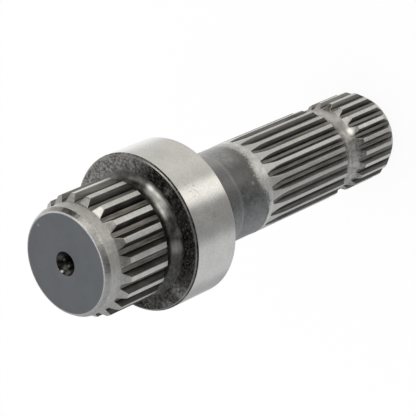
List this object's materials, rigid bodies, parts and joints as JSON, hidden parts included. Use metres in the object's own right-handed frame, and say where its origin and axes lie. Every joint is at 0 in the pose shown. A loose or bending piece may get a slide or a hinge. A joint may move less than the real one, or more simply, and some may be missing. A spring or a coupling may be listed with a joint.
{
  "type": "transmission output shaft",
  "caption": "Forged and turned power take-off shaft with a splined drive end, a ground collar, a bare neck and a splined end with a locking groove",
  "frame": {"origin": "centre of the power take-off end face, which is the lowest plane when the shaft stands on that end", "axes": "+Z runs along the shaft's axis from the power take-off end up to the nose inside the gearbox; +X runs through the middle of a tooth of both splines"},
  "size_m": [0.058, 0.058, 0.163],
  "materials": {
    "shaft_steel": "bare forging steel, turned, hobbed and ground bright, with dark forging scale left on the collar's front face and on the neck"
  },
  "bodies": {
    "root": {"output_shaft": "shaft_steel"}
  },
  "joints": []
}
